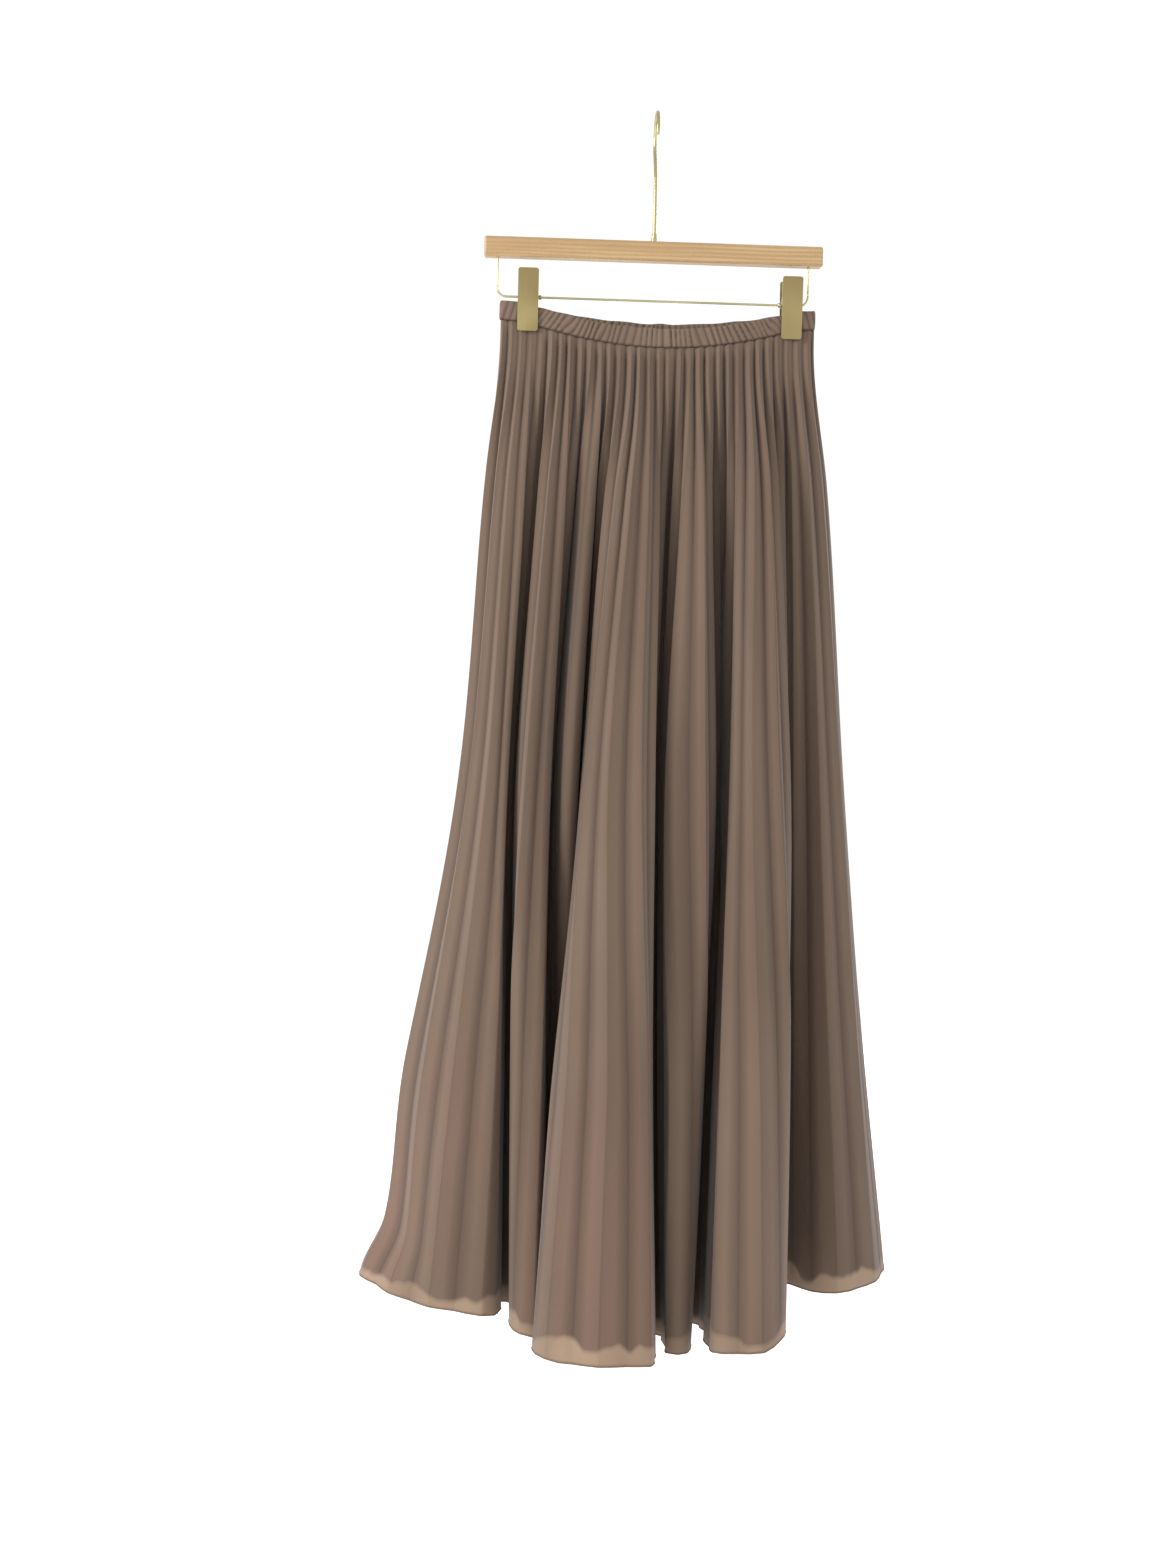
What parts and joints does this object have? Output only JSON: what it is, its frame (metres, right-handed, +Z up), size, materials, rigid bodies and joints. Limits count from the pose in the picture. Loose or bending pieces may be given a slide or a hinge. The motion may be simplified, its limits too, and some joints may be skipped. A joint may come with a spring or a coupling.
{
  "type": "pleated skirt on clip hanger",
  "caption": "Long sheer sunray-pleated skirt with gathered elastic waistband and plain lining, held at the waist by the clips of a wooden-bar hanger with a wire hook.",
  "frame": {"origin": "the inner top of the hook, where a rail bears", "axes": "+Z up, the skirt's front faces -Y, and +X is to the right as seen from the front"},
  "size_m": [0.5751, 0.3336, 1.2837],
  "materials": {
    "chiffon": "matt sheer brown-grey chiffon, pressed in pleats",
    "lining_cloth": "matt plain woven lining",
    "bare_beech": "smooth bare wood with a thin satin varnish",
    "pale_brass": "pale brass-plated wire",
    "satin_brass": "satin brass-plated sheet"
  },
  "bodies": {
    "root": {"skirt_front": "chiffon", "skirt_back": "chiffon", "waistband": "chiffon", "lining_front": "lining_cloth", "lining_back": "lining_cloth", "hanger_bar": "bare_beech", "hook": "pale_brass", "hook_ferrule": "pale_brass", "rail_wire": "pale_brass", "clip_left_front_jaw": "satin_brass", "clip_left_back_jaw": "satin_brass", "clip_left_spring": "satin_brass", "clip_left_collar": "satin_brass", "clip_right_front_jaw": "satin_brass", "clip_right_back_jaw": "satin_brass", "clip_right_spring": "satin_brass", "clip_right_collar": "satin_brass"}
  },
  "joints": []
}
